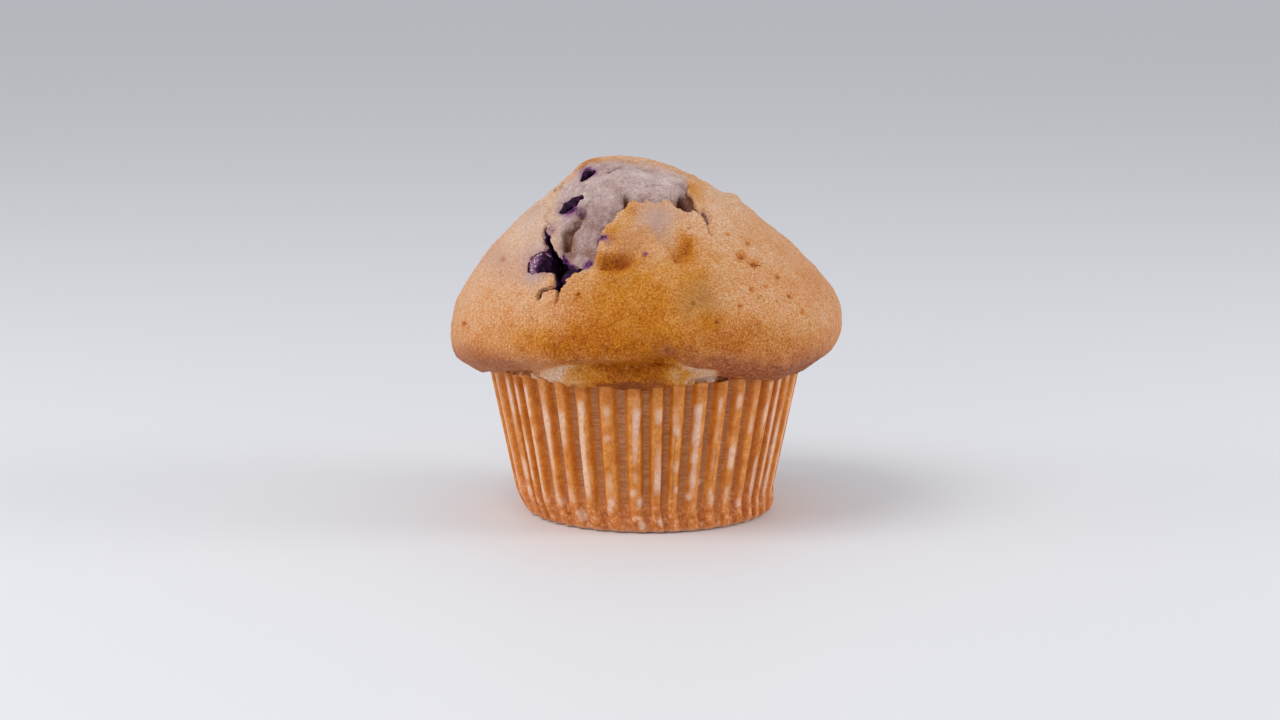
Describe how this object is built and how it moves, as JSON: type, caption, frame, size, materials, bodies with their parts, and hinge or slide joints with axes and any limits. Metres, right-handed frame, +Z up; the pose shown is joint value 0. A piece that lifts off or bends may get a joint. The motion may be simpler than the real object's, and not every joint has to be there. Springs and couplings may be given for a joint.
{
  "type": "muffin",
  "caption": "Large berry muffin in a pleated paper case, with a mushroom cap whose crust burst on one side to show crumb and berries.",
  "frame": {"origin": "middle of the paper case's flat base", "axes": "+Z up through the cap, -Y towards the front, which shows the burst and the tongue of batter, +X to the right seen from the front"},
  "size_m": [0.0896, 0.088, 0.0814],
  "materials": {
    "cake": null,
    "paper_case": "thin pleated baking paper, stained orange-brown by the cake's butter",
    "berry": "baked berry skin, dark purple with a soft gloss"
  },
  "bodies": {
    "root": {"cake": "cake", "paper_case": "paper_case", "berry_front": "berry", "berry_upper": "berry", "berry_fissure": "berry", "berry_peak": "berry"}
  },
  "joints": []
}
